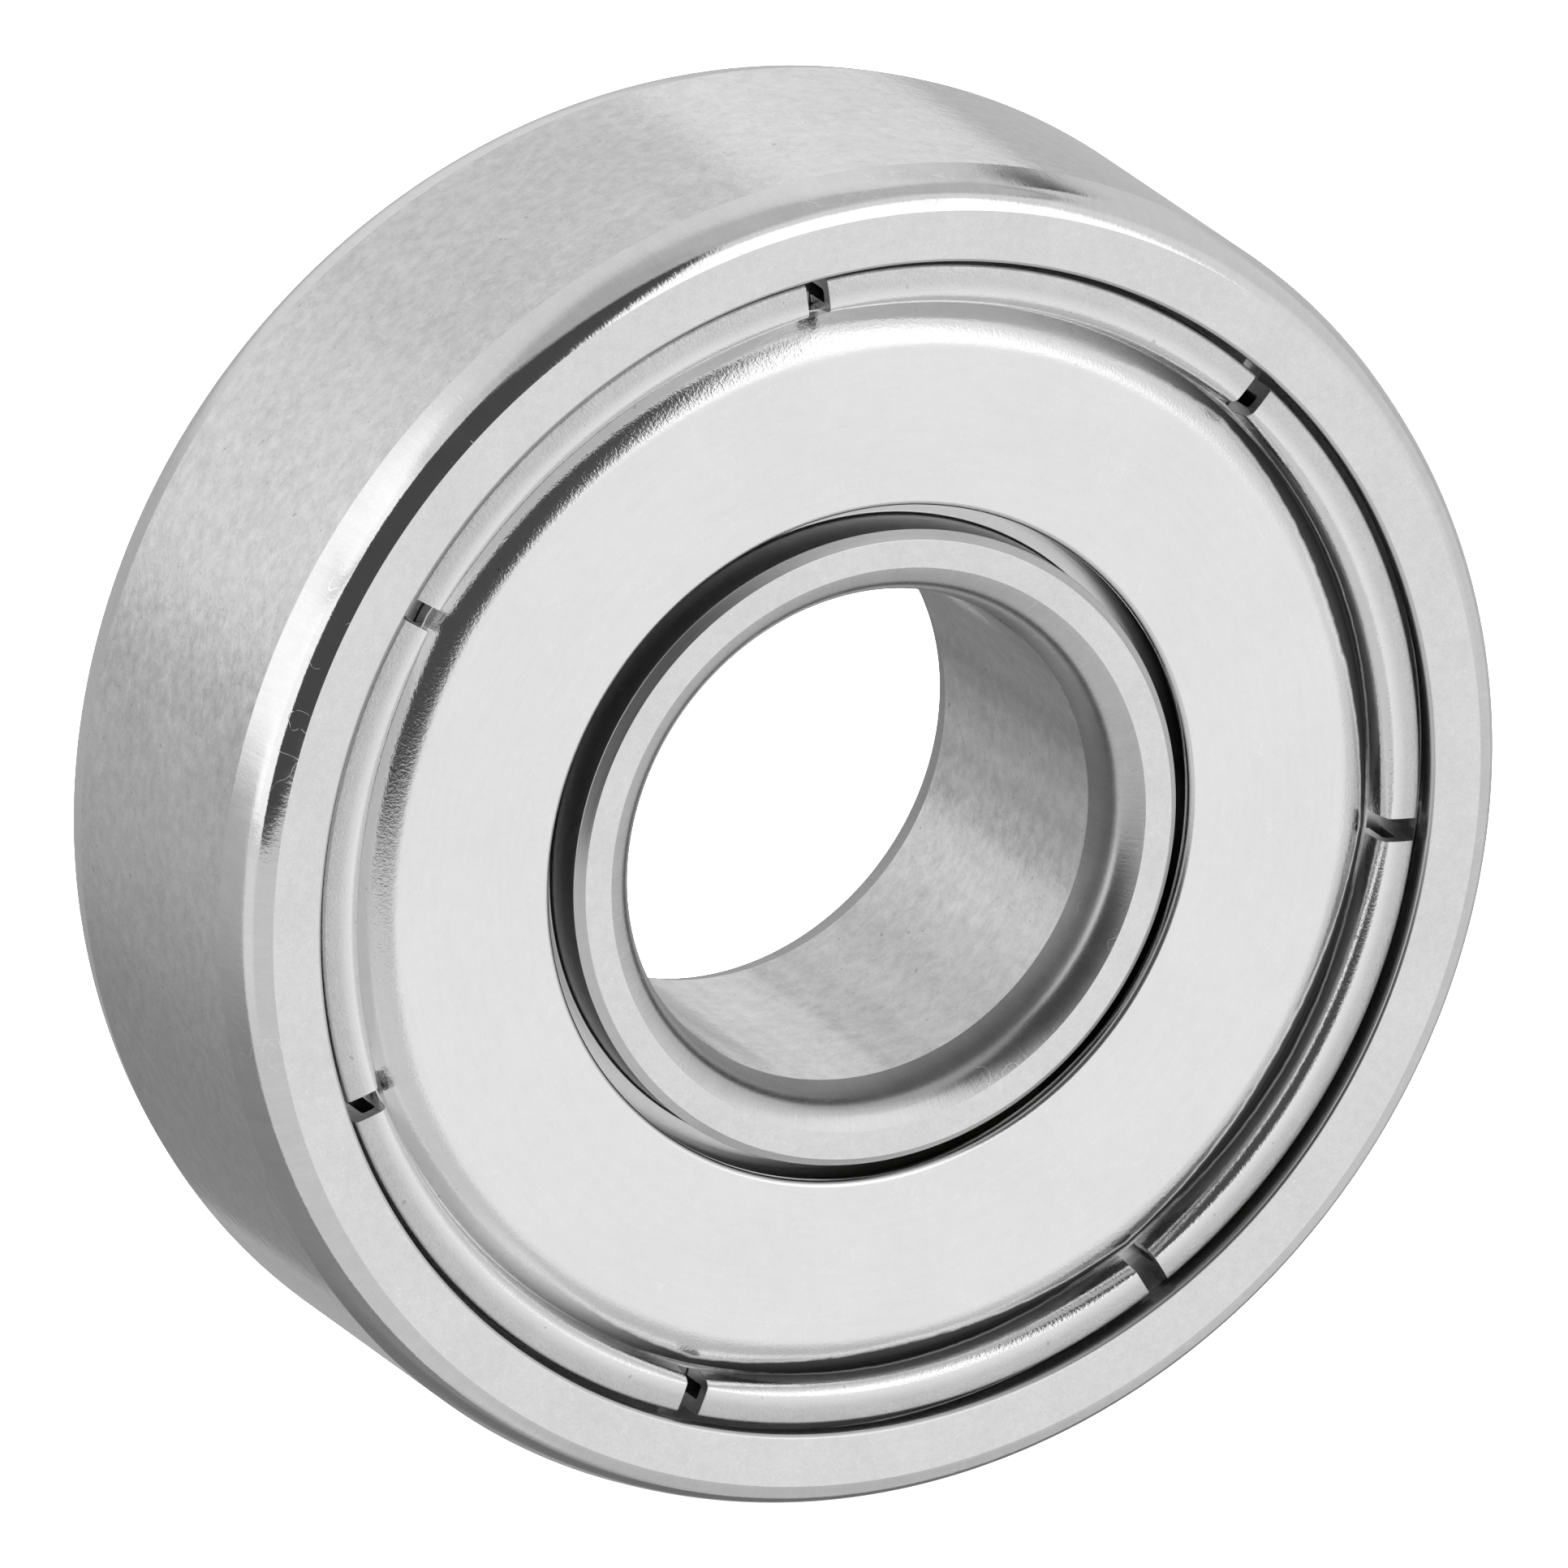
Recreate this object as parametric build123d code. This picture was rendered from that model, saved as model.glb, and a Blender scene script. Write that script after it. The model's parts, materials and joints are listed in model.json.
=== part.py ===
from build123d import *
from math import cos, radians, sin, sqrt
import os

# Miniature deep-groove ball bearing for a 7 mm shaft, shielded on both sides.
# Millimetres. The bearing's axis is the Y axis and the origin is its centre.
# The front face looks along -Y. Profiles are drawn with x as the radius and
# y as the distance along the axis, and are turned about the Y axis.

# Boundary dimensions
BORE_R = 3.5
OUTSIDE_R = 9.5
HALF_WIDTH = 3.0

# Outer ring
OUTER_LAND_R = 9.06  # the flat land meets the outside corner here
OUTER_CORNER_DEPTH = 0.79  # how far that corner runs along the axis
CORNER_TILTS = (16, 79)  # degrees off the flat face where a corner leaves it and ends
CORNER_PULLS = (0.33, 0.62)  # how far each tilt holds, as a share of the corner's chord
COUNTERBORE_R = 8.33  # mouth of the recess that the shield is pressed into
LIP_DEPTH = 0.28  # depth of the recess's wall before it undercuts
UNDERCUT_R = 8.58
SEAT_Y = 2.16  # floor of the recess, on which the shield rests
OUTER_SHOULDER_R = 7.55

# Inner ring
INNER_LAND_R = 4.01  # the flat face meets the bore corner here
INNER_CORNER_DEPTH = 0.75
NOSE_FACE_R = 4.40  # outer edge of the flat face
NOSE_R = 4.52  # the nose passes through the hole in the shield
NOSE_BEVEL_DEPTH = 0.12
STEP_Y = 2.15  # the step from the nose out to the shoulder
INNER_SHOULDER_R = 5.5

# Balls and raceways
BALL_COUNT = 6
BALL_R = 1.75
PITCH_R = 6.5
GROOVE_R = 1.82  # curvature across a raceway, 0.52 of the ball's diameter
PLAY = 0.015  # between a ball and the bottom of each raceway
FIRST_BALL_ANGLE = 90.0  # angles run from +X towards +Z, in degrees
BALL_STEP = 360 / BALL_COUNT

# Shield: one pressed sheet whose curled rim springs into the outer ring
SHEET = 0.19
SHIELD_HOLE_R = 4.8
SHIELD_FLAT_R = 7.0  # the flat disc ends here and rolls over the shoulder
SHIELD_TOP_Y = 2.746
SHOULDER_R = 0.6  # outside radius of the shoulder's roll
SHOULDER_TURN = 50  # degrees of it, before it runs straight into the valley
VALLEY_R = 7.59
BEAD_INNER_R = 7.65  # inner wall of the curled rim
BEAD_TOP_Y = 2.84
BEAD_ROUND_R = 0.2  # from the inner wall to the crown
CROWN_R = 2.05  # the crown is nearly flat
CROWN_TURN = 9.5  # degrees that it falls away towards its outer edge
BEAD_EDGE_R = 0.06  # from the crown to the outer wall
RIM_R = 8.5  # the rim's foot, held by the undercut
SLOT_COUNT = 7
SLOT_WIDTH = 0.32
SLOT_START_R = 7.61
FIRST_SLOT_ANGLE = 44.5

# Cage: two pressed ribbons, riveted together between the balls
RIBBON = 0.2
CAGE_INNER_R = 5.95
CAGE_OUTER_R = 7.05
POCKET_PLAY = 0.05
RIVET_R = 0.25
RIVET_HEAD_R = 0.42
RIVET_HEAD_HEIGHT = 0.16
RIVET_PLAY = 0.01

EDGE_BREAK = 0.03
SHOULDER_BREAK = 0.08


def turned(half_profile):
    """Mirror a half profile in the mid-plane and turn it about the Y axis."""
    return revolve(half_profile + mirror(half_profile, about=Plane.XZ), Axis.Y)


def at_angle(angle, radius):
    """A place on a circle about the Y axis."""
    return Rot(0, -angle, 0) * Pos(radius, 0, 0)


def raceway(shoulder_r, bottom_r):
    """The arc across half of a raceway, from its shoulder to its bottom."""
    outward = 1 if bottom_r > shoulder_r else -1
    centre_r = bottom_r - outward * GROOVE_R
    shoulder_y = sqrt(GROOVE_R**2 - (shoulder_r - centre_r) ** 2)
    middle_y = shoulder_y / 2
    middle_r = centre_r + outward * sqrt(GROOVE_R**2 - middle_y**2)
    return ThreePointArc((shoulder_r, shoulder_y), (middle_r, middle_y), (bottom_r, 0))


def corner(land_r, wall_r, depth):
    """A ring's rounded corner, from its flat face to its cylindrical wall."""
    outward = 1 if wall_r > land_r else -1
    start = Vector(land_r, HALF_WIDTH)
    end = Vector(wall_r, HALF_WIDTH - depth)
    chord = (end - start).length
    leaving, arriving = (
        Vector(outward * cos(radians(tilt)), -sin(radians(tilt))) * pull * chord
        for tilt, pull in zip(CORNER_TILTS, CORNER_PULLS)
    )
    return Bezier(start, start + leaving, end - arriving, end)


def outer_ring():
    bottom_r = PITCH_R + BALL_R + PLAY
    groove = raceway(OUTER_SHOULDER_R, bottom_r)
    outside = Polyline(
        (bottom_r, 0), (OUTSIDE_R, 0), (OUTSIDE_R, HALF_WIDTH - OUTER_CORNER_DEPTH)
    )
    recess = Polyline(
        (OUTER_LAND_R, HALF_WIDTH),
        (COUNTERBORE_R + EDGE_BREAK, HALF_WIDTH),
        (COUNTERBORE_R, HALF_WIDTH - EDGE_BREAK),
        (COUNTERBORE_R, HALF_WIDTH - LIP_DEPTH),
        (UNDERCUT_R, SEAT_Y + SHEET),
        (UNDERCUT_R, SEAT_Y),
        (OUTER_SHOULDER_R + SHOULDER_BREAK, SEAT_Y),
        (OUTER_SHOULDER_R, SEAT_Y - SHOULDER_BREAK),
        groove @ 0,
    )
    outside_corner = corner(OUTER_LAND_R, OUTSIDE_R, OUTER_CORNER_DEPTH)
    return turned(make_face(outside + outside_corner + recess + groove))


def inner_ring():
    bottom_r = PITCH_R - BALL_R - PLAY
    groove = raceway(INNER_SHOULDER_R, bottom_r)
    inside = Polyline(
        (bottom_r, 0), (BORE_R, 0), (BORE_R, HALF_WIDTH - INNER_CORNER_DEPTH)
    )
    nose = Polyline(
        (INNER_LAND_R, HALF_WIDTH),
        (NOSE_FACE_R, HALF_WIDTH),
        (NOSE_R, HALF_WIDTH - NOSE_BEVEL_DEPTH),
        (NOSE_R, STEP_Y),
        (INNER_SHOULDER_R - SHOULDER_BREAK, STEP_Y),
        (INNER_SHOULDER_R, STEP_Y - SHOULDER_BREAK),
        groove @ 0,
    )
    bore_corner = corner(INNER_LAND_R, BORE_R, INNER_CORNER_DEPTH)
    return turned(make_face(inside + bore_corner + nose + groove))


def shield_sheet():
    """The back shield before its slots are cut; its outer side looks along +Y."""
    edge_r = SHIELD_HOLE_R + SHEET / 2
    under_y = SHIELD_TOP_Y - SHEET
    roll_centre = (SHIELD_FLAT_R, SHIELD_TOP_Y - SHOULDER_R)
    crown_start_r = BEAD_INNER_R + BEAD_ROUND_R
    hole_edge = ThreePointArc(
        (edge_r, under_y), (SHIELD_HOLE_R, SHIELD_TOP_Y - SHEET / 2), (edge_r, SHIELD_TOP_Y)
    )
    disc = Line((edge_r, SHIELD_TOP_Y), (SHIELD_FLAT_R, SHIELD_TOP_Y))
    shoulder = CenterArc(roll_centre, SHOULDER_R, 90, -SHOULDER_TURN)
    slope = shoulder % 1
    valley = (shoulder @ 1) + slope * ((VALLEY_R - (shoulder @ 1).X) / slope.X)
    bead_round = CenterArc(
        (crown_start_r, BEAD_TOP_Y - BEAD_ROUND_R), BEAD_ROUND_R, 180, -90
    )
    descent = Polyline(shoulder @ 1, valley, bead_round @ 0)
    crown = CenterArc((crown_start_r, BEAD_TOP_Y - CROWN_R), CROWN_R, 90, -CROWN_TURN)
    tilt = radians(CROWN_TURN)
    edge_centre = (crown @ 1) - Vector(sin(tilt), cos(tilt)) * BEAD_EDGE_R
    bead_edge = CenterArc(edge_centre, BEAD_EDGE_R, 90 - CROWN_TURN, CROWN_TURN - 90)
    bead_outer_r = edge_centre.X + BEAD_EDGE_R
    roll = CenterArc(roll_centre, SHOULDER_R - SHEET, 90 - SHOULDER_TURN, SHOULDER_TURN)
    inside = Polyline(
        bead_edge @ 1,
        (bead_outer_r, SEAT_Y + SHEET),
        (RIM_R, SEAT_Y + SHEET / 2),
        (RIM_R, SEAT_Y),
        (bead_outer_r - SHEET, SEAT_Y),
        (bead_outer_r - SHEET, BEAD_TOP_Y - SHEET),
        (BEAD_INNER_R + SHEET, BEAD_TOP_Y - SHEET),
        (BEAD_INNER_R + SHEET, valley.Y - SHEET),
        (VALLEY_R - SHEET / 2, valley.Y - SHEET),
        roll @ 0,
    )
    back = Line((SHIELD_FLAT_R, under_y), (edge_r, under_y))
    top = hole_edge + disc + shoulder + descent + bead_round + crown + bead_edge
    return revolve(make_face(top + inside + roll + back), Axis.Y)


def shield():
    slot_length = RIM_R + EDGE_BREAK - SLOT_START_R
    slot = Pos(slot_length / 2, SEAT_Y, 0) * Box(slot_length, HALF_WIDTH, SLOT_WIDTH)
    sheet = shield_sheet()
    for number in range(SLOT_COUNT):
        angle = FIRST_SLOT_ANGLE + number * 360 / SLOT_COUNT
        sheet -= at_angle(angle, SLOT_START_R) * slot
    return sheet


def annulus(inner_r, outer_r, thickness):
    """A flat ring about the Y axis that stands on the mid-plane."""
    corners = Polyline(
        (inner_r, 0), (outer_r, 0), (outer_r, thickness), (inner_r, thickness), close=True
    )
    return revolve(make_face(corners), Axis.Y)


def cage_ribbon():
    """The back half of the cage; its pockets bulge along +Y."""
    pocket_r = BALL_R + POCKET_PLAY
    shell_r = pocket_r + RIBBON
    ribbon = annulus(CAGE_INNER_R, CAGE_OUTER_R, RIBBON)
    reach = annulus(CAGE_INNER_R, CAGE_OUTER_R, shell_r)
    rivet_hole = Cylinder(RIVET_R + RIVET_PLAY, HALF_WIDTH, rotation=(90, 0, 0))
    for number in range(BALL_COUNT):
        ball_angle = FIRST_BALL_ANGLE + number * BALL_STEP
        ball_place = at_angle(ball_angle, PITCH_R)
        ribbon += reach & (ball_place * Sphere(shell_r))
        ribbon -= ball_place * Sphere(pocket_r)
        ribbon -= at_angle(ball_angle + BALL_STEP / 2, PITCH_R) * rivet_hole
    return ribbon


def rivet():
    """A shank along Y with a domed head on each end."""
    top = (0, RIBBON + RIVET_HEAD_HEIGHT)
    head_edge = (RIVET_HEAD_R, RIBBON)
    dome = TangentArc(top, head_edge, tangent=(1, 0))
    sides = Polyline(head_edge, (RIVET_R, RIBBON), (RIVET_R, 0), (0, 0), top)
    return turned(make_face(sides + dome))


def save(shape, name):
    export_step(shape, f"parts/{name}.step")


os.makedirs("parts", exist_ok=True)

save(outer_ring(), "outer_ring")
save(inner_ring(), "inner_ring")

back_shield = shield()
save(back_shield, "shield_back")
save(mirror(back_shield, about=Plane.XZ), "shield_front")

back_ribbon = cage_ribbon()
save(back_ribbon, "cage_back")
save(mirror(back_ribbon, about=Plane.XZ), "cage_front")

for number in range(BALL_COUNT):
    ball_angle = FIRST_BALL_ANGLE + number * BALL_STEP
    rivet_angle = ball_angle + BALL_STEP / 2
    save(at_angle(ball_angle, PITCH_R) * Sphere(BALL_R), f"ball_{number + 1}")
    save(at_angle(rivet_angle, PITCH_R) * rivet(), f"rivet_{number + 1}")
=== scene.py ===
import json
import math

import bmesh
import bpy
from mathutils import Matrix, Vector


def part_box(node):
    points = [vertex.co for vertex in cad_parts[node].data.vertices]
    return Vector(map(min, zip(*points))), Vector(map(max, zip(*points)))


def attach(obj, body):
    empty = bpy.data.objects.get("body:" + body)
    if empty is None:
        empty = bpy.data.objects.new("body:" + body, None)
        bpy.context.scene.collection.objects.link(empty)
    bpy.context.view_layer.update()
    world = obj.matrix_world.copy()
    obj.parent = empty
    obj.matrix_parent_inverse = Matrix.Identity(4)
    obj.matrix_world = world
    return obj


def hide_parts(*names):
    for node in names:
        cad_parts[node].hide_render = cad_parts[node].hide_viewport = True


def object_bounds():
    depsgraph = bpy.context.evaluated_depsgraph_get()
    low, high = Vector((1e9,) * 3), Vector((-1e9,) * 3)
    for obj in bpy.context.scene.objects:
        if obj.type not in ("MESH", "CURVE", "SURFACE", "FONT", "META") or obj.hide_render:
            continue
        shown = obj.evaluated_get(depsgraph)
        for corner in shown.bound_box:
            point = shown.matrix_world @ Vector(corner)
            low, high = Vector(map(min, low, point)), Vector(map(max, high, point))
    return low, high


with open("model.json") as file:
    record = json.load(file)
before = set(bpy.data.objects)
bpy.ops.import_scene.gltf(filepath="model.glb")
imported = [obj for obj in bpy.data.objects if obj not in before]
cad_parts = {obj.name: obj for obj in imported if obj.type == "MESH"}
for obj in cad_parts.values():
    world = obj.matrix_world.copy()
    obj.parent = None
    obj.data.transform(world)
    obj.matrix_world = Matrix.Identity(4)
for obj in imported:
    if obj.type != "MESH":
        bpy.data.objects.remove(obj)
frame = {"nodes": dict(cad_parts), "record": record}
cad_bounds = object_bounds()

# Outlines are written in millimetres as (radius, distance along the axis), and
# become metres in the meshes. Each is turned about the bearing's axis, Y.
MM = 0.001


def node_size(node):
    """Largest radius and largest distance along Y of a CAD node, in millimetres."""
    low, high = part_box(node)
    return high.x / MM, max(abs(low.y), abs(high.y)) / MM


# Sizes read from the frame
OUTSIDE_R, HALF_WIDTH = node_size("outer_ring")
INNER_SHOULDER_R, _ = node_size("inner_ring")
RIM_R, BEAD_TOP_Y = node_size("shield_back")
MOUNTS = {mount["name"]: mount for mount in frame["record"]["mounts"]}
BORE_R = MOUNTS["shaft_bore"]["dims"]["r_mm"]
OUTER_CORNER_Y = MOUNTS["housing_seat"]["dims"]["length_mm"] / 2
INNER_CORNER_Y = MOUNTS["shaft_bore"]["dims"]["length_mm"] / 2
BALL_LOW, BALL_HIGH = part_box("ball_1")
BALL_R = (BALL_HIGH.y - BALL_LOW.y) / 2 / MM
PITCH_R = (BALL_LOW.z + BALL_HIGH.z) / 2 / MM
BALLS = sorted(node for node in frame["nodes"] if node.startswith("ball_"))
RIVETS = sorted(node for node in frame["nodes"] if node.startswith("rivet_"))

# Outer ring
OUTER_LAND_R = OUTSIDE_R - 0.44
COUNTERBORE_R = 8.33
LIP_DEPTH = 0.28
UNDERCUT_R = RIM_R + 0.08
SEAT_Y = BEAD_TOP_Y - 0.68
OUTER_SHOULDER_R = 7.55

# Inner ring
INNER_LAND_R = BORE_R + 0.51
NOSE_FACE_R = 4.40
NOSE_R = 4.52
NOSE_BEVEL_DEPTH = 0.12
STEP_Y = 2.15

# Both rings
CORNER_TILTS = (16, 79)  # degrees off the flat face where a corner leaves it and ends
CORNER_PULLS = (0.33, 0.62)  # how far each tilt holds, as a share of the corner's chord
GROOVE_R = 1.82
PLAY = 0.015

# Shield
SHEET = 0.19
SHIELD_HOLE_R = 4.8
SHIELD_FLAT_R = 7.0
SHIELD_TOP_Y = BEAD_TOP_Y - 0.094
SHOULDER_R = 0.6
SHOULDER_TURN = 50
VALLEY_R = 7.59
VALLEY_Y = BEAD_TOP_Y - 0.464
BEAD_INNER_R = 7.65
BEAD_ROUND_R = 0.2
CROWN_R = 2.05
CROWN_TURN = 9.5  # degrees that the crown falls away towards its outer edge
BEAD_EDGE_R = 0.06
SLOT_COUNT = 7
SLOT_WIDTH = 0.32
SLOT_START_R = 7.61
FIRST_SLOT_ANGLE = math.radians(44.5)
SLOT_PITCH = 2 * math.pi / SLOT_COUNT
SCALLOP = 0.085  # how far the valley moves outward beside a slot
SCALLOP_REACH = math.radians(7)

# Mesh fineness
RING_STEPS = 720
ROUND_STEPS = 12
SHARP_DEGREES = 9
TONGUE_STEPS = 96  # between two slots
SLOT_BEVEL = 0.012


# Outlines


def arc(centre, radius_x, radius_y, start, end, steps=24):
    """Points along part of an ellipse; the angles are in degrees."""
    points = []
    for step in range(steps + 1):
        turn = math.radians(start + (end - start) * step / steps)
        points.append(
            (centre[0] + radius_x * math.cos(turn), centre[1] + radius_y * math.sin(turn))
        )
    return points


def rounded(before, corner, after, radius):
    """Points that round the corner between two neighbours."""
    corner = Vector(corner)
    to_before = (Vector(before) - corner).normalized()
    to_after = (Vector(after) - corner).normalized()
    half_angle = to_before.angle(to_after) / 2
    reach = radius / math.tan(half_angle)
    centre = corner + (to_before + to_after).normalized() * radius / math.sin(half_angle)
    start = corner + to_before * reach - centre
    end = corner + to_after * reach - centre
    turn = start.angle_signed(end)
    points = []
    for step in range(ROUND_STEPS + 1):
        share = step / ROUND_STEPS
        points.append(tuple(centre + Matrix.Rotation(-turn * share, 2) @ start))
    return points


def outline(*stretches):
    """A closed outline. A stretch is a list of points, kept as it is, or one
    corner as (radius, y, rounding)."""
    flat = []
    for stretch in stretches:
        if isinstance(stretch, list):
            flat += [(point, 0) for point in stretch]
        else:
            flat.append((stretch[:2], stretch[2]))
    points = []
    for index, (point, rounding) in enumerate(flat):
        if rounding:
            before = flat[index - 1][0]
            after = flat[(index + 1) % len(flat)][0]
            points += rounded(before, point, after, rounding)
        else:
            points.append(point)
    return points


def raceway(shoulder_r, bottom_r):
    """The whole arc across a raceway, from its +Y shoulder to its -Y shoulder."""
    outward = 1 if bottom_r > shoulder_r else -1
    centre_r = bottom_r - outward * GROOVE_R
    half = math.degrees(math.acos(abs(shoulder_r - centre_r) / GROOVE_R))
    if outward > 0:
        return arc((centre_r, 0), GROOVE_R, GROOVE_R, half, -half, 48)
    return arc((centre_r, 0), GROOVE_R, GROOVE_R, 180 - half, 180 + half, 48)


def corner(land_r, wall_r, depth, steps=36):
    """A ring's corner from its flat face to its wall, as a cubic curve."""
    outward = 1 if wall_r > land_r else -1
    start = Vector((land_r, HALF_WIDTH))
    end = Vector((wall_r, HALF_WIDTH - depth))
    chord = (end - start).length
    leaving, arriving = (
        Vector((outward * math.cos(math.radians(tilt)), -math.sin(math.radians(tilt)))) * pull
        for tilt, pull in zip(CORNER_TILTS, CORNER_PULLS)
    )
    controls = (start, start + leaving * chord, end - arriving * chord, end)
    points = []
    for step in range(steps + 1):
        t = step / steps
        weights = ((1 - t) ** 3, 3 * t * (1 - t) ** 2, 3 * t**2 * (1 - t), t**3)
        place = sum((point * weight for point, weight in zip(controls, weights)), Vector((0, 0)))
        points.append(tuple(place))
    return points


def mirrored_ring(half, groove):
    """A ring's outline from the half on the +Y side and the groove between."""
    return half + groove + [(radius, -y) for radius, y in reversed(half)]


def outer_ring_outline():
    depth = HALF_WIDTH - OUTER_CORNER_Y
    half = outline(
        [(OUTSIDE_R, 0)],
        corner(OUTER_LAND_R, OUTSIDE_R, depth)[::-1],
        (COUNTERBORE_R, HALF_WIDTH, 0.06),
        (COUNTERBORE_R, HALF_WIDTH - LIP_DEPTH, 0.02),
        (UNDERCUT_R, SEAT_Y + SHEET, 0.03),
        (UNDERCUT_R, SEAT_Y, 0.03),
        (OUTER_SHOULDER_R, SEAT_Y, 0.08),
        [(OUTER_SHOULDER_R, 0)],
    )
    return mirrored_ring(half[1:-1], raceway(OUTER_SHOULDER_R, PITCH_R + BALL_R + PLAY))


def inner_ring_outline():
    depth = HALF_WIDTH - INNER_CORNER_Y
    half = outline(
        [(BORE_R, 0)],
        corner(INNER_LAND_R, BORE_R, depth)[::-1],
        (NOSE_FACE_R, HALF_WIDTH, 0.02),
        (NOSE_R, HALF_WIDTH - NOSE_BEVEL_DEPTH, 0.03),
        (NOSE_R, STEP_Y, 0.04),
        (INNER_SHOULDER_R, STEP_Y, 0.08),
        [(INNER_SHOULDER_R, 0)],
    )
    return mirrored_ring(half[1:-1], raceway(INNER_SHOULDER_R, PITCH_R - BALL_R - PLAY))


def shield_outlines():
    """The disc's outline up to where the slots start, and the rim's beyond it."""
    under_y = SHIELD_TOP_Y - SHEET
    roll_centre = (SHIELD_FLAT_R, SHIELD_TOP_Y - SHOULDER_R)
    disc = outline(
        [(SLOT_START_R, VALLEY_Y - SHEET)],
        (VALLEY_R - 0.08, VALLEY_Y - SHEET, 0.05),
        (SHIELD_FLAT_R + 0.1, under_y, 0.3),
        (SHIELD_HOLE_R, under_y, 0.04),
        (SHIELD_HOLE_R, SHIELD_TOP_Y, 0.09),
        arc(roll_centre, SHOULDER_R, SHOULDER_R, 90, 90 - SHOULDER_TURN),
        (VALLEY_R, VALLEY_Y, 0.02),
        [(SLOT_START_R, VALLEY_Y + 0.02)],
    )
    crown_start_r = BEAD_INNER_R + BEAD_ROUND_R
    tilt = math.radians(CROWN_TURN)
    inner_centre = (crown_start_r, BEAD_TOP_Y - BEAD_ROUND_R)
    crown_centre = (crown_start_r, BEAD_TOP_Y - CROWN_R)
    to_edge = CROWN_R - BEAD_EDGE_R
    edge_centre = (
        crown_centre[0] + to_edge * math.sin(tilt),
        crown_centre[1] + to_edge * math.cos(tilt),
    )
    outer_r = edge_centre[0] + BEAD_EDGE_R
    rim = outline(
        arc(inner_centre, BEAD_ROUND_R, BEAD_ROUND_R, 180, 92),
        arc(crown_centre, CROWN_R, CROWN_R, 90, 90 - CROWN_TURN, 8),
        arc(edge_centre, BEAD_EDGE_R, BEAD_EDGE_R, 86 - CROWN_TURN, 0, 12),
        (outer_r, SEAT_Y + SHEET, 0.05),
        (RIM_R, SEAT_Y + SHEET * 0.6, 0.02),
        (RIM_R, SEAT_Y, 0.02),
        (outer_r - SHEET, SEAT_Y, 0.02),
        (outer_r - SHEET, BEAD_TOP_Y - SHEET, 0.05),
        (BEAD_INNER_R + SHEET, BEAD_TOP_Y - SHEET, 0.05),
        [(BEAD_INNER_R + SHEET, VALLEY_Y - SHEET)],
    )
    return disc, rim


# Meshes


def finish_mesh(mesh_data, name):
    """A new object from mesh data, smooth except at its sharp edges."""
    bmesh.ops.recalc_face_normals(mesh_data, faces=mesh_data.faces)
    mesh = bpy.data.meshes.new(name)
    mesh_data.to_mesh(mesh)
    mesh_data.free()
    mesh.shade_smooth()
    mesh.set_sharp_from_angle(angle=math.radians(SHARP_DEGREES))
    piece = bpy.data.objects.new(name, mesh)
    bpy.context.scene.collection.objects.link(piece)
    return piece


def turned_point(radius, y, angle):
    return Vector((radius * math.cos(angle), y, radius * math.sin(angle))) * MM


def lathe(name, points, steps=RING_STEPS, zone_of=None):
    """A closed ring. zone_of gives the material number of a stretch of outline
    from its middle point."""
    work = bmesh.new()
    columns = []
    for step in range(steps):
        angle = 2 * math.pi * step / steps
        columns.append([work.verts.new(turned_point(r, y, angle)) for r, y in points])
    zones = []
    for index, point in enumerate(points):
        after = points[(index + 1) % len(points)]
        middle = ((point[0] + after[0]) / 2, (point[1] + after[1]) / 2)
        zones.append(zone_of(*middle) if zone_of else 0)
    for step in range(steps):
        here, there = columns[step], columns[(step + 1) % steps]
        for index in range(len(points)):
            after = (index + 1) % len(points)
            face = work.faces.new((here[index], here[after], there[after], there[index]))
            face.material_index = zones[index]
    return finish_mesh(work, name)


def slot_columns():
    """Angles round the shield as (slot centre or None, side, angle at the disc)."""
    columns = []
    half_slot = math.asin(SLOT_WIDTH / 2 / SLOT_START_R)
    for number in range(SLOT_COUNT):
        centre = FIRST_SLOT_ANGLE + number * SLOT_PITCH
        columns.append((centre, 1, centre + half_slot))
        for step in range(1, TONGUE_STEPS):
            share = step / TONGUE_STEPS
            angle = centre + half_slot + (SLOT_PITCH - 2 * half_slot) * share
            columns.append((None, 0, angle))
        columns.append((centre + SLOT_PITCH, -1, centre + SLOT_PITCH - half_slot))
        columns.append((centre + SLOT_PITCH, 0, centre + SLOT_PITCH))
    return columns


def smooth_step(value, low, high):
    share = min(1, max(0, (value - low) / (high - low)))
    return share * share * (3 - 2 * share)


def scalloped(radius, angle):
    """A radius on the shield, moved outward in the valley beside the slots."""
    past_middle = angle - FIRST_SLOT_ANGLE + SLOT_PITCH / 2
    from_slot = abs(past_middle % SLOT_PITCH - SLOT_PITCH / 2)
    rising = smooth_step(radius, SHIELD_FLAT_R, VALLEY_R)
    falling = 1 - smooth_step(radius, BEAD_INNER_R, BEAD_INNER_R + BEAD_ROUND_R)
    return radius + SCALLOP * rising * falling * math.exp(-from_slot / SCALLOP_REACH)


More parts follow.
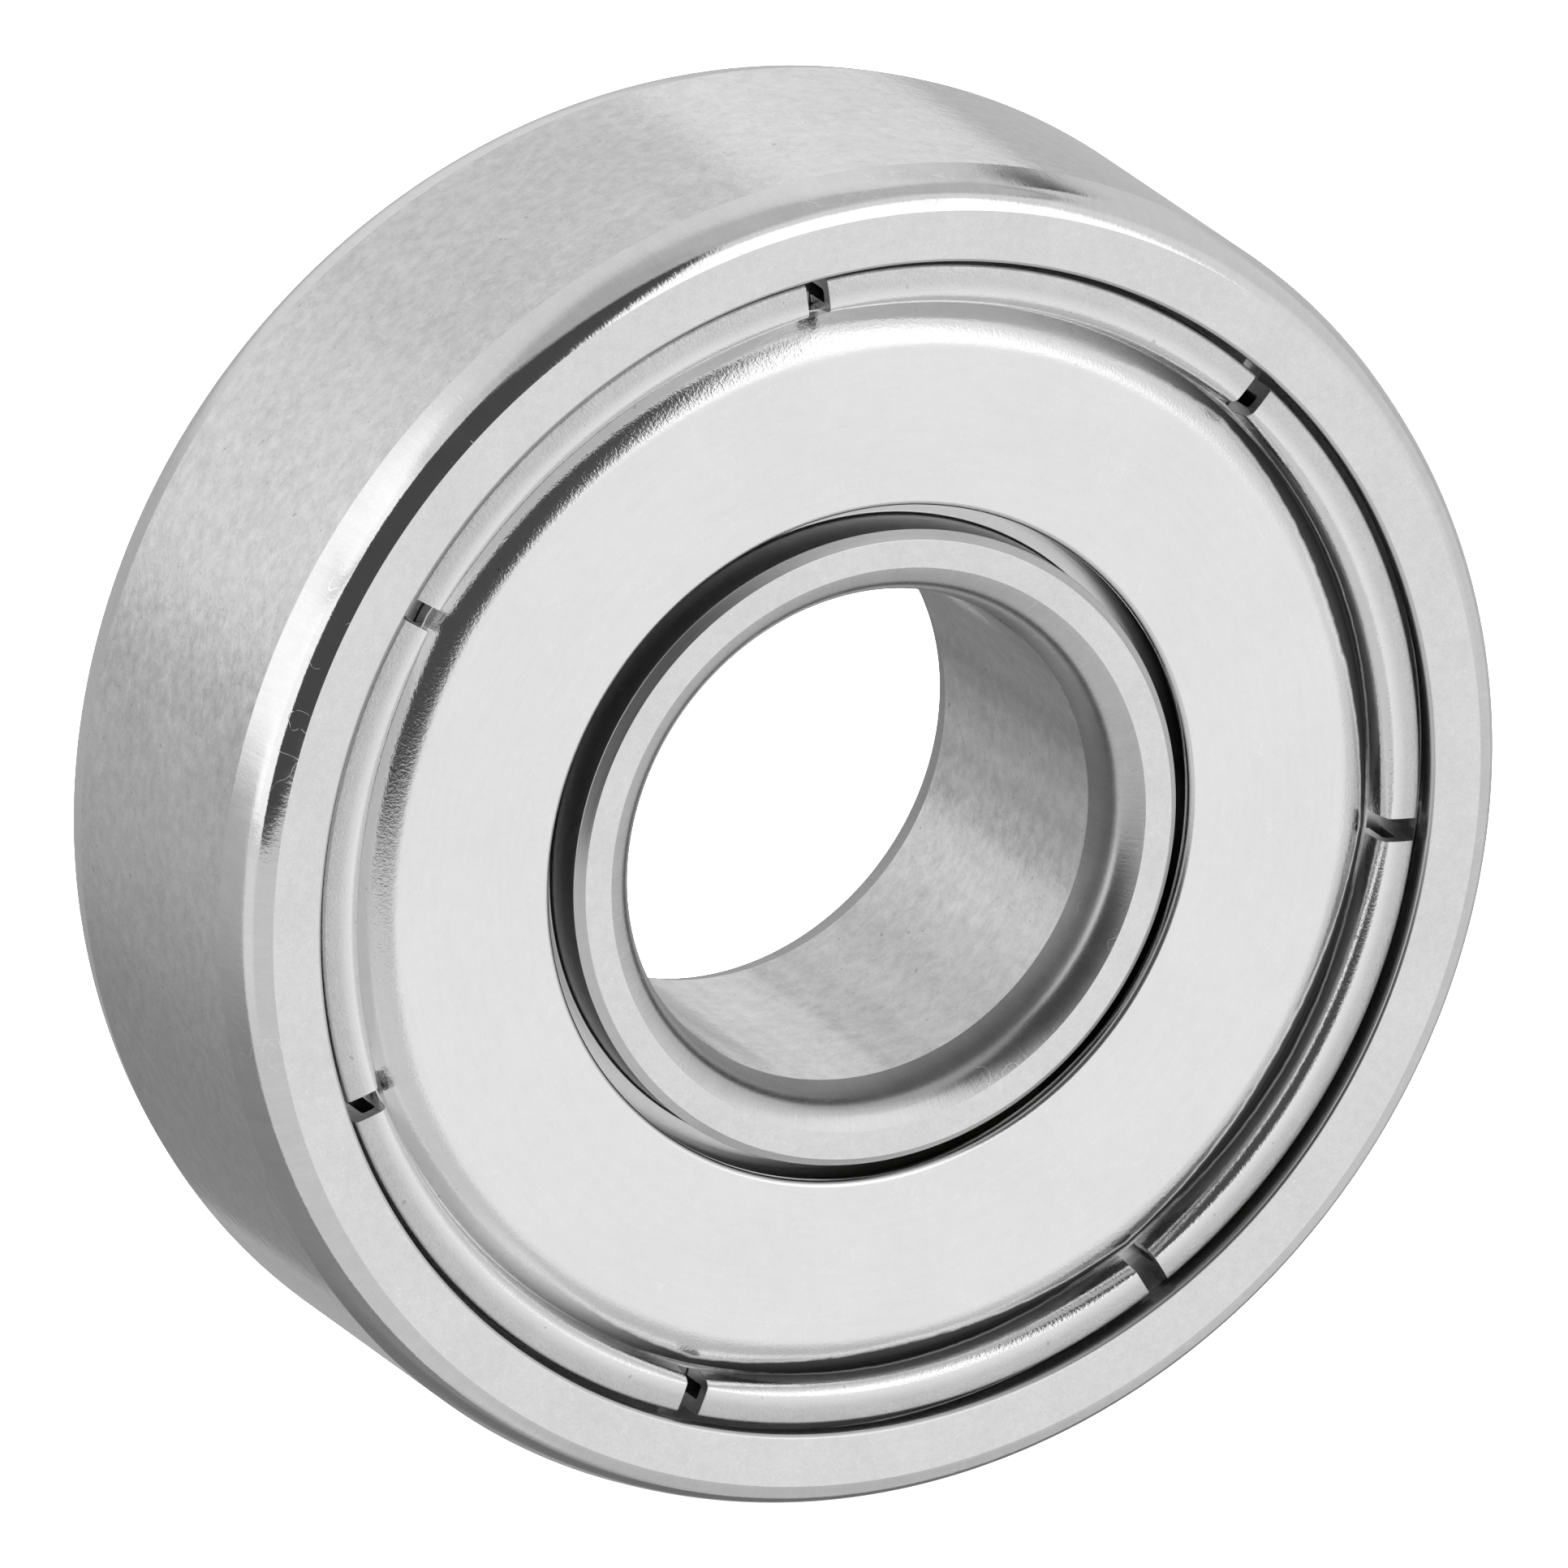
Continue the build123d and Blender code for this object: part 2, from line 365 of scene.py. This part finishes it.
def shield_mesh(name, side):
    """A closed sheet with a slotted rim; side is 1 for the back, -1 for the front."""
    disc, rim = shield_outlines()
    work = bmesh.new()
    disc_columns, rim_columns = [], []
    columns = slot_columns()

    def add_column(points, angle_at):
        column = []
        for r, y in points:
            angle = angle_at(r)
            column.append(work.verts.new(turned_point(scalloped(r, angle), side * y, angle)))
        return column

    for slot_centre, edge, angle in columns:
        disc_columns.append(add_column(disc, lambda r: angle))
        if slot_centre is None:
            rim_columns.append(add_column(rim, lambda r: angle))
        elif edge:
            rim_columns.append(
                add_column(
                    rim, lambda r: slot_centre + edge * math.asin(SLOT_WIDTH / 2 / r)
                )
            )
        else:
            rim_columns.append([])
    for index, here in enumerate(disc_columns):
        after = (index + 1) % len(columns)
        there = disc_columns[after]
        for row in range(len(disc) - 1):
            work.faces.new((here[row], here[row + 1], there[row + 1], there[row]))
        rim_here = [here[-1]] + rim_columns[index] + [here[0]]
        rim_there = [there[-1]] + rim_columns[after] + [there[0]]
        if rim_columns[index] and rim_columns[after]:
            for row in range(len(rim_here) - 1):
                work.faces.new(
                    (rim_here[row], rim_here[row + 1], rim_there[row + 1], rim_there[row])
                )
        else:
            work.faces.new((here[-1], here[0], there[0], there[-1]))
        if columns[index][1]:
            work.faces.new(rim_here)
    piece = finish_mesh(work, name)
    bevel = piece.modifiers.new("slot_edges", "BEVEL")
    bevel.width = SLOT_BEVEL * MM
    bevel.segments = 2
    bevel.limit_method = "ANGLE"
    bevel.angle_limit = math.radians(60)
    return piece


# Materials


class Graph:
    """Short calls for building a node tree."""

    def __init__(self, tree):
        self.tree = tree
        tree.nodes.clear()

    def node(self, kind, inputs=(), **settings):
        made = self.tree.nodes.new(kind)
        for key, value in settings.items():
            setattr(made, key, value)
        for key, value in dict(inputs).items():
            self.put(made.inputs[key], value)
        return made

    def put(self, socket, value):
        if isinstance(value, bpy.types.NodeSocket):
            self.tree.links.new(value, socket)
        else:
            socket.default_value = value

    def math(self, operation, *values):
        made = self.node("ShaderNodeMath", operation=operation)
        for socket, value in zip(made.inputs, values):
            self.put(socket, value)
        return made.outputs[0]

    def remap(self, value, low, high, to_low, to_high, smooth=False):
        made = self.node(
            "ShaderNodeMapRange",
            {0: value, 1: low, 2: high, 3: to_low, 4: to_high},
            interpolation_type="SMOOTHSTEP" if smooth else "LINEAR",
        )
        return made.outputs[0]

    def noise(self, vector, scale, detail=2.0, roughness=0.5, w=None):
        inputs = {"Vector": vector, "Scale": scale, "Detail": detail, "Roughness": roughness}
        if w is not None:
            inputs["W"] = w
        kind = "3D" if w is None else "4D"
        made = self.node("ShaderNodeTexNoise", inputs, noise_dimensions=kind)
        return made.outputs[0]

    def combine(self, x, y, z):
        made = self.node("ShaderNodeCombineXYZ", {0: x, 1: y, 2: z})
        return made.outputs[0]

    def split(self, vector):
        made = self.node("ShaderNodeSeparateXYZ", {0: vector})
        return made.outputs[0], made.outputs[1], made.outputs[2]


class Surface(Graph):
    """A metal surface's node tree, with places in millimetres about the axis."""

    def __init__(self, name):
        self.material = bpy.data.materials.new(name)
        self.material.use_nodes = True
        super().__init__(self.material.node_tree)
        place = self.node("ShaderNodeTexCoord").outputs["Object"]
        scaled = self.node("ShaderNodeVectorMath", {0: place, 3: 1 / MM}, operation="SCALE")
        self.place = scaled.outputs[0]
        self.x, self.y, self.z = self.split(self.place)
        flat = self.combine(self.x, 0.0, self.z)
        measured = self.node("ShaderNodeVectorMath", {0: flat}, operation="LENGTH")
        self.radius = measured.outputs[1]
        self.cos = self.math("DIVIDE", self.x, self.radius)
        self.sin = self.math("DIVIDE", self.z, self.radius)

    def round_streaks(self, along, across, detail=3.0):
        """Noise stretched round the axis: along and across are counts per mm."""
        turn = 9.0 * along
        place = self.combine(
            self.math("MULTIPLY", self.cos, turn),
            self.math("MULTIPLY", self.sin, turn),
            self.math("MULTIPLY", self.y, across),
        )
        return self.noise(place, 1.0, detail, 0.6, self.math("MULTIPLY", self.radius, across))

    def spokes(self, along, across, detail=3.0):
        """Noise stretched along the radius or the axis."""
        turn = 9.0 * across
        place = self.combine(
            self.math("MULTIPLY", self.cos, turn),
            self.math("MULTIPLY", self.sin, turn),
            self.math("MULTIPLY", self.y, along),
        )
        return self.noise(place, 1.0, detail, 0.6, self.math("MULTIPLY", self.radius, along))

    def hairs(self, scale, width, coverage):
        """Short curved scratches, 1 on a hair and 0 off it."""
        wander = self.noise(self.place, scale, 2.0, 0.5)
        off_line = self.math("ABSOLUTE", self.math("SUBTRACT", wander, 0.5))
        line = self.remap(off_line, 0.0, width, 1.0, 0.0, smooth=True)
        gate = self.noise(self.place, scale * 0.7, 1.0, 0.5, 3.0)
        shown = self.remap(gate, 1 - coverage, 1.06 - coverage, 0.0, 1.0, smooth=True)
        return self.math("MULTIPLY", line, shown)

    def pits(self, scale, coverage):
        """Scattered small spots, 1 in a pit and 0 outside."""
        speck = self.noise(self.place, scale, 1.0, 0.5, 7.0)
        return self.remap(speck, 1 - coverage, 1.04 - coverage, 0.0, 1.0, smooth=True)

    def blend(self, base, *layers):
        """A base value plus (noise, amount) layers; each noise is centred on zero."""
        total = base
        for layer, amount in layers:
            centred = self.math("SUBTRACT", layer, 0.5)
            total = self.math("MULTIPLY_ADD", centred, amount, total)
        return total

    def marked(self, value, *marks):
        """A value changed by (mark, amount), where a mark is 0 on the clean surface."""
        for mark, amount in marks:
            value = self.math("MULTIPLY_ADD", mark, amount, value)
        return value

    def glancing(self, roughness, least):
        """A rough surface mirrors more sharply the flatter it is looked along."""
        facing = self.node("ShaderNodeLayerWeight", {0: 0.5}).outputs["Facing"]
        share = self.remap(facing, 0.45, 0.9, 1.0, least, smooth=True)
        return self.math("MULTIPLY", roughness, share)

    def painted_valley_shade(self, mottle):
        """1 where painted shade fills the shield's valley, on one side of it and thinner
        beside its slots, and 0 elsewhere."""
        angle = self.math("ARCTAN2", self.z, self.x)
        off_slot = self.math("SUBTRACT", angle, FIRST_SLOT_ANGLE)
        off_slot = self.math("WRAP", off_slot, SLOT_PITCH / 2, -SLOT_PITCH / 2)
        off_slot = self.math("ABSOLUTE", off_slot)
        slot_narrowing = self.remap(off_slot, 0.0, SLOT_PITCH / 2, 0.10, 0.0, smooth=True)
        wall = self.remap(self.radius, VALLEY_R + 0.005, VALLEY_R + 0.03, 0.0, 0.18)
        height = self.math("ADD", self.math("ABSOLUTE", self.y), self.math("ADD", slot_narrowing, wall))
        height = self.blend(height, (mottle, 0.05))
        deep = self.remap(height, SHIELD_TOP_Y - 0.11, SHIELD_TOP_Y - 0.03, 1.0, 0.0, smooth=True)
        rim = self.remap(self.radius, BEAD_INNER_R, BEAD_INNER_R + 0.05, 1.0, 0.0)
        # Painted shade: the valley is blackened on the side round 326 degrees and left clear on the
        # opposite side.
        lengthwise = self.math("MULTIPLY", self.cos, 0.83)
        toward_shaded_side = self.math("MULTIPLY_ADD", self.sin, -0.56, lengthwise)
        side = self.remap(toward_shaded_side, -0.45, 0.25, 0.0, 1.0, smooth=True)
        return self.math("MULTIPLY", self.math("MULTIPLY", deep, rim), side)

    def finish(self, brightness, roughness, bumps, metallic=1.0):
        """bumps is a list of (height, size in mm)."""
        colour = self.node("ShaderNodeCombineColor", {0: brightness, 1: brightness, 2: brightness})
        normal = None
        for height, size in bumps:
            inputs = {"Height": height, "Strength": 1.0, "Distance": size * MM}
            if normal is not None:
                inputs["Normal"] = normal
            normal = self.node("ShaderNodeBump", inputs).outputs[0]
        inputs = {
            "Base Color": colour.outputs[0],
            "Metallic": metallic,
            "Roughness": roughness,
            "Specular IOR Level": 0.0,
        }
        if normal is not None:
            inputs["Normal"] = normal
        metal = self.node("ShaderNodeBsdfPrincipled", inputs)
        self.node("ShaderNodeOutputMaterial", {0: metal.outputs[0]})
        return self.material


def ground_steel(name, shade, banding):
    """A ground and superfinished cylinder: cloudy, with short crossed scratches."""
    s = Surface(name)
    clouds = s.noise(s.place, 0.6, 2.0)
    mottle = s.noise(s.place, 5.0, 3.0, 0.6)
    grain = s.noise(s.place, 22.0, 2.0)
    bands = s.noise(s.combine(s.cos, s.sin, 0.0), 7.0, 1.0)
    hairs = s.hairs(4.0, 0.02, 0.55)
    pits = s.pits(9.0, 0.27)
    brightness = s.blend(shade, (clouds, 0.10), (mottle, 0.34), (grain, 0.16), (bands, banding))
    brightness = s.marked(brightness, (hairs, -0.07), (pits, -0.22))
    roughness = s.glancing(s.blend(0.24, (mottle, 0.25), (clouds, 0.08)), 0.25)
    return s.finish(brightness, roughness, [(mottle, 0.004), (grain, 0.0008), (hairs, -0.0006)])


def polished_steel(name, face_shade, inner_shade, polish):
    """The tumbled corners, brightest near the flat faces and darker towards the walls by painted
    shade; polish is their roughness there.
    """
    s = Surface(name)
    mottle = s.noise(s.place, 3.0, 2.0)
    grain = s.noise(s.place, 24.0, 2.0)
    hairs = s.hairs(1.6, 0.006, 0.46)
    rays = s.spokes(1.0, 12.0)
    depth = s.math("ABSOLUTE", s.y)
    edge = s.remap(depth, HALF_WIDTH - 0.42, HALF_WIDTH - 0.18, 0.0, 1.0, smooth=True)
    # painted shade: the colour falls from face_shade at the face to inner_shade towards the wall
    shade = s.remap(edge, 0.0, 1.0, inner_shade, face_shade)
    brightness = s.blend(shade, (mottle, 0.10), (grain, 0.08), (rays, 0.10))
    brightness = s.marked(brightness, (hairs, 0.10))
    roughness = s.remap(edge, 0.0, 1.0, polish + 0.1, polish)
    roughness = s.blend(roughness, (mottle, 0.06))
    bumps = [(mottle, 0.002), (grain, 0.0009), (hairs, 0.0008), (rays, 0.0010)]
    return s.finish(brightness, roughness, bumps)


def lapped_steel():
    """The flat faces: lapped, with fine random marks and a few pits."""
    s = Surface("lapped_steel")
    clouds = s.noise(s.place, 1.0, 2.0)
    mottle = s.noise(s.place, 7.0, 3.0, 0.6)
    grain = s.noise(s.place, 26.0, 2.0)
    hairs = s.hairs(5.0, 0.02, 0.5)
    pits = s.pits(6.0, 0.24)
    brightness = s.blend(0.75, (clouds, 0.10), (mottle, 0.16), (grain, 0.12))
    brightness = s.marked(brightness, (hairs, 0.04), (pits, -0.25))
    roughness = s.blend(0.20, (mottle, 0.14))
    return s.finish(brightness, roughness, [(mottle, 0.0014), (grain, 0.0004), (hairs, 0.0005)])


def turned_steel():
    """Recess, nose, step and shoulders: fine turned lines round the axis."""
    s = Surface("turned_steel")
    lines = s.round_streaks(0.2, 20.0)
    mottle = s.noise(s.place, 7.0, 3.0)
    brightness = s.blend(0.70, (lines, 0.14), (mottle, 0.08))
    roughness = s.blend(0.30, (lines, 0.14))
    return s.finish(brightness, roughness, [(lines, 0.0015)])


def sheet_steel():
    """Pressed sheet: a satin disc with faint swirls, a grainier curled rim, and painted
    shade that blackens one side of the valley between them."""
    s = Surface("sheet_steel")
    curled = s.remap(s.radius, SHIELD_FLAT_R, SHIELD_FLAT_R + 0.25, 0.0, 1.0, smooth=True)
    clouds = s.noise(s.place, 0.5, 2.0)
    mottle = s.noise(s.place, 4.0, 3.0, 0.6)
    grain = s.noise(s.place, 24.0, 2.0, 0.7)
    swirl = s.round_streaks(0.9, 12.0)
    rays = s.spokes(1.2, 9.0)
    hairs = s.hairs(2.5, 0.012, 0.45)
    pits = s.pits(8.0, 0.26)
    # painted shade that blackens one side of the valley; there it is also made dull and not metallic
    valley_shade = s.painted_valley_shade(mottle)
    brightness = s.blend(0.845, (clouds, 0.07), (mottle, 0.06), (grain, 0.06), (swirl, 0.05))
    brightness = s.marked(brightness, (hairs, 0.03), (s.math("MULTIPLY", pits, curled), -0.20))
    # Painted shade: the bead's outer part is darkened, with grain and mottle in the darkening.
    outer_rim = s.remap(s.radius, BEAD_INNER_R + 0.14, BEAD_INNER_R + 0.40, 0.0, 1.0, smooth=True)
    grainy_painted_shade = s.math("MULTIPLY", outer_rim, s.blend(1.0, (grain, 1.6), (mottle, 0.8)))
    brightness = s.marked(brightness, (grainy_painted_shade, -0.17))
    # the valley's painted shade pulls the colour to near black
    brightness = s.remap(valley_shade, 0.0, 1.0, brightness, 0.03)
    satin = s.blend(0.22, (mottle, 0.08), (rays, 0.10))
    crown = s.remap(s.radius, BEAD_INNER_R + 0.12, BEAD_INNER_R + 0.35, 0.17, 0.38)
    wall = s.remap(s.radius, BEAD_INNER_R + 0.02, BEAD_INNER_R + 0.045, 0.5, 0.0)
    on_bead = s.remap(s.radius, VALLEY_R + 0.01, VALLEY_R + 0.02, 0.0, 1.0)
    bead = s.math("MAXIMUM", crown, wall)
    pressed = s.blend(s.remap(on_bead, 0.0, 1.0, 0.15, bead), (mottle, 0.08))
    roughness = s.remap(curled, 0.0, 1.0, satin, pressed)
    roughness = s.remap(valley_shade, 0.0, 1.0, roughness, 0.5)
    pressed_grain = s.math("MULTIPLY", grain, curled)
    pressed_rays = s.math("MULTIPLY", s.spokes(2.5, 12.0), curled)
    bumps = [
        (mottle, 0.0012),
        (rays, 0.0010),
        (swirl, 0.0006),
        (pressed_grain, 0.0055),
        (pressed_rays, 0.0010),
    ]
    return s.finish(brightness, roughness, bumps, s.math("SUBTRACT", 1.0, valley_shade))


def ball_steel():
    """Mirror-bright, with only a trace of unevenness."""
    s = Surface("ball_steel")
    mottle = s.noise(s.place, 4.0, 3.0)
    roughness = s.blend(0.05, (mottle, 0.04))
    return s.finish(s.blend(0.8, (mottle, 0.03)), roughness, [(mottle, 0.0002)])


def cage_steel():
    """Dull pressed strip for the cage and its rivets."""
    s = Surface("cage_steel")
    mottle = s.noise(s.place, 8.0, 4.0)
    lines = s.round_streaks(0.8, 14.0)
    brightness = s.blend(0.62, (mottle, 0.18), (lines, 0.10))
    roughness = s.blend(0.32, (mottle, 0.15))
    return s.finish(brightness, roughness, [(mottle, 0.002), (lines, 0.001)])


MATERIALS = {
    "ground": ground_steel("ground_steel", 0.76, 0.04),
    "honed": ground_steel("honed_steel", 0.64, 0.35),
    "polished": polished_steel("polished_steel", 0.80, 0.78, 0.085),
    # a darker copy of the polished corner, darkest towards the bore: painted shade
    "bore_corner": polished_steel("bore_corner_steel", 0.62, 0.38, 0.27),
    "lapped": lapped_steel(),
    "turned": turned_steel(),
    "sheet": sheet_steel(),
    "ball": ball_steel(),
    "cage": cage_steel(),
}


def dress(piece, *names):
    for name in names:
        piece.data.materials.append(MATERIALS[name])


def stand_for(piece, node, body):
    """The piece is shown in the CAD node's place."""
    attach(piece, body)
    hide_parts(node)


# Pieces

EDGE_TOLERANCE = 0.002


def outer_zone(radius, y):
    """ground, polished, lapped or turned, by number"""
    height = abs(y)
    if radius > OUTSIDE_R - EDGE_TOLERANCE and height < OUTER_CORNER_Y:
        return 0
    if radius > OUTER_LAND_R:
        return 1
    if height > HALF_WIDTH - EDGE_TOLERANCE:
        return 2
    return 3


def inner_zone(radius, y):
    """honed, bore corner, lapped or turned, by number"""
    height = abs(y)
    if radius < BORE_R + EDGE_TOLERANCE and height < INNER_CORNER_Y:
        return 0
    if radius < INNER_LAND_R:
        return 1
    if height > HALF_WIDTH - EDGE_TOLERANCE:
        return 2
    return 3


outer_ring = lathe("ring_outer", outer_ring_outline(), zone_of=outer_zone)
dress(outer_ring, "ground", "polished", "lapped", "turned")
stand_for(outer_ring, "outer_ring", "outer")

inner_ring = lathe("ring_inner", inner_ring_outline(), zone_of=inner_zone)
dress(inner_ring, "honed", "bore_corner", "lapped", "turned")
stand_for(inner_ring, "inner_ring", "inner")

for node, side in (("shield_front", -1), ("shield_back", 1)):
    shield = shield_mesh(node.replace("shield_", "pressed_shield_"), side)
    dress(shield, "sheet")
    stand_for(shield, node, "outer")

for node in BALLS:
    frame["nodes"][node].data.materials.clear()
    frame["nodes"][node].data.materials.append(MATERIALS["ball"])
for node in RIVETS + ["cage_front", "cage_back"]:
    frame["nodes"][node].data.materials.clear()
    frame["nodes"][node].data.materials.append(MATERIALS["cage"])


# Stage


def make_floor():
    """A white light-table floor under a wide soft light. The steel mirrors neither."""
    floor_size, light_size, light_height, light_watts = 0.3, 1.2, 0.6, 22
    floor_shade, floor_glow = 0.92, 0.93
    bpy.ops.mesh.primitive_plane_add(size=floor_size, location=(0, 0, cad_bounds[0].z))
    floor = bpy.context.object
    floor.name = "floor"
    floor.visible_glossy = False
    material = bpy.data.materials.new("floor")
    material.use_nodes = True
    graph = Graph(material.node_tree)
    shade = graph.node("ShaderNodeBsdfDiffuse", {0: (floor_shade, floor_shade, floor_shade, 1)})
    glow = graph.node("ShaderNodeEmission", {1: floor_glow})
    both = graph.node("ShaderNodeAddShader", {0: shade.outputs[0], 1: glow.outputs[0]})
    graph.node("ShaderNodeOutputMaterial", {0: both.outputs[0]})
    floor.data.materials.append(material)
    overhead = bpy.data.objects.new("overhead", bpy.data.lights.new("overhead", "AREA"))
    bpy.context.scene.collection.objects.link(overhead)
    overhead.data.size = light_size
    overhead.data.energy = light_watts
    overhead.location.z = light_height
    overhead.visible_glossy = False
    overhead.visible_camera = False


# Direction from the bearing to the camera
TO_CAMERA = Vector((-0.405, -0.852, 0.331)).normalized()


def make_camera():
    """A long lens; field is the width that it takes in at the bearing."""
    distance, field = 1.005, 0.02129
    camera = bpy.data.objects.new("camera", bpy.data.cameras.new("camera"))
    bpy.context.scene.collection.objects.link(camera)
    camera.data.sensor_width = 36
    camera.data.lens = camera.data.sensor_width * distance / field
    camera.data.clip_start, camera.data.clip_end = 0.1, 10
    camera.location = TO_CAMERA * distance
    camera.rotation_mode = "QUATERNION"
    camera.rotation_quaternion = (-TO_CAMERA).to_track_quat("-Z", "Y")
    bpy.context.scene.camera = camera


# The studio that the steel mirrors: azimuths, elevations, softness of the sides and of
# the top and bottom, brightness, and how far the panel rises per degree to its right.
# Degrees; azimuth 0 is in front of the bearing and 90 is on its right. Later panels
# cover earlier ones.
CEILING = 0.57
PANELS = (
    ((10, 190), (38, 100), (30, 12), 0.67, 0),  # brighter part of the ceiling
    ((130, 240), (3, 57), (6, 3), 0.98, 0),  # back wall
    ((138, 161), (3, 48), (5, 3), 1.08, 0),  # its brighter right end
    ((161, 196), (19, 37), (1, 4), 0.84, 0),  # a dull panel on it
    ((52, 148), (-25, 42), (10, 3), 0.84, 0),  # right wall
    ((62, 118), (43.4, 45.4), (5, 0.9), 0.45, 0),  # the edge above it
    ((124, 141), (25, 33), (1.5, 1.5), 0.1, -0.7),  # a gap beside it
    ((-150, -72), (24, 58), (8, 9), 0.95, 0),  # glow above the light on the left
    ((-141, -92), (-9, 44), (9, 4), 1.55, 0),  # large light on the left
    ((-98, -72), (-9, 44), (3, 4), 1.42, 0),  # its weaker end
    ((-128, -75), (25, 28), (2, 1.2), 0.95, 0.15),  # a seam across it
    ((-4, 64), (-14, 58), (8, 9), 1.0, 0),  # glow round the light beside the camera
    ((-72, 8.5), (-20, 60), (1.5, 6), 0.09, 0),  # the dark opening for the camera
    ((8, 43), (-6, 39), (1.5, 3), 1.6, 0),  # light beside the camera
    ((-112, 110), (-100, -12.3), (1.5, 1.2), 0.82, -0.08),  # front of the table
    ((-112, -76), (-28, -6), (8, 6), 0.97, 0),  # its part beside the left light
    ((5, 120), (-100, -47), (12, 8), 0.68, 0),  # and away from it
    ((3, 50), (-38, -4), (7, 8), 1.14, 0),  # the table's brightest part
    ((105, 168), (-100, 3), (1.5, 1.5), 0.66, 0),  # back of the table, on the right
    ((118, 168), (-100, -20), (4, 4), 0.5, 0),
    ((168, 247), (-100, 0), (1.5, 6), 0.58, 0),  # and on the left
    ((168, 247), (-100, -23), (1.5, 10), 0.32, 0),
    ((118, 190), (-100, -36), (8, 3), 0.22, 0),  # painted shadow of the bearing on the table behind it
    ((-200, 200), (-100, -82), (1, 9), 0.45, 0),  # the table under the bearing, darkened by painted shade
)


def make_world():
    world = bpy.data.worlds.new("studio")
    bpy.context.scene.world = world
    world.use_nodes = True
    g = Graph(world.node_tree)
    direction = g.node("ShaderNodeTexCoord").outputs["Generated"]
    x, y, z = g.split(direction)
    azimuth = g.math("DEGREES", g.math("ARCTAN2", x, g.math("MULTIPLY", y, -1.0)))
    elevation = g.math("DEGREES", g.math("ARCSINE", z))

    def within(off_middle, reach, softness):
        off_middle = g.math("ABSOLUTE", off_middle)
        return g.remap(off_middle, reach - softness, reach + softness, 1.0, 0.0, smooth=True)

    light = CEILING
    for (left, right), (low, high), (side_soft, end_soft), brightness, rise in PANELS:
        aside = g.math("WRAP", g.math("SUBTRACT", azimuth, (left + right) / 2), 180.0, -180.0)
        above = g.math("MULTIPLY_ADD", aside, -rise, g.math("SUBTRACT", elevation, (low + high) / 2))
        shown = g.math(
            "MULTIPLY",
            within(aside, (right - left) / 2, side_soft),
            within(above, (high - low) / 2, end_soft),
        )
        light = g.remap(shown, 0.0, 1.0, light, brightness)
    seen = g.node("ShaderNodeLightPath").outputs["Is Camera Ray"]
    light = g.remap(seen, 0.0, 1.0, light, 1.0)
    sky = g.node("ShaderNodeBackground", {1: light})
    g.node("ShaderNodeOutputWorld", {0: sky.outputs[0]})


make_floor()
make_camera()
make_world()
bpy.context.scene.view_settings.view_transform = "Standard"
